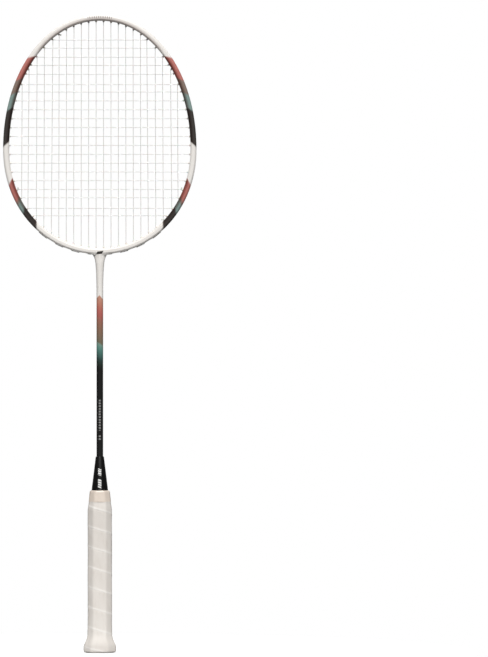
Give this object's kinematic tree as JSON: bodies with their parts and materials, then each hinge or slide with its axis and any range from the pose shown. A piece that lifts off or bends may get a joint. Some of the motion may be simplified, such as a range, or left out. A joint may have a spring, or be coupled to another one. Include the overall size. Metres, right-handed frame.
{
  "type": "badminton racket",
  "caption": "Strung badminton racket: oval graphite head on a slim round shaft, black cone and octagonal handle wrapped in pale grip tape with a flared butt.",
  "frame": {"origin": "centre of the butt's flat end face", "axes": "+Z from the butt to the head, +X across the head, -Y towards the front hitting face"},
  "size_m": [0.2046, 0.0312, 0.675],
  "materials": {
    "frame_lacquer": "pearl white lacquer over graphite, with coral, teal and black bands",
    "throat_lacquer": "pearl white lacquer over graphite",
    "moulded_core": "moulded fibre-filled resin, unpainted",
    "shaft_lacquer": "glossy lacquer, black below, fading through teal and coral to white above",
    "cone_plastic": "glossy black moulded plastic",
    "handle_wood": "bare planed wood",
    "cap_plastic": "moulded plastic, off-white",
    "disc_film": "printed film disc, plain",
    "steel_wire": "galvanised steel wire",
    "grip_tape": "off-white embossed synthetic grip tape, spiral wrapped",
    "finishing_tape": "beige self-adhesive tape",
    "string_nylon": "white multifilament nylon string",
    "grommet_nylon": "moulded nylon, pale grey"
  },
  "bodies": {
    "root": {"hoop": "frame_lacquer", "throat": "throat_lacquer", "t_joint": "moulded_core", "shaft": "shaft_lacquer", "cone": "cone_plastic", "handle_core": "handle_wood", "butt_cap": "cap_plastic", "butt_disc": "disc_film", "grip_staple": "steel_wire", "cap_brad_left": "steel_wire", "cap_brad_right": "steel_wire", "grip_tape": "grip_tape", "finishing_tape": "finishing_tape", "main_string": "string_nylon", "cross_string": "string_nylon", "grommet_strip_left_1": "grommet_nylon", "grommet_strip_left_2": "grommet_nylon", "grommet_strip_left_3": "grommet_nylon", "grommet_strip_left_4": "grommet_nylon", "grommet_strip_left_5": "grommet_nylon", "grommet_strip_left_6": "grommet_nylon", "grommet_strip_right_1": "grommet_nylon", "grommet_strip_right_2": "grommet_nylon", "grommet_strip_right_3": "grommet_nylon", "grommet_strip_right_4": "grommet_nylon", "grommet_strip_right_5": "grommet_nylon", "grommet_strip_right_6": "grommet_nylon"}
  },
  "joints": []
}
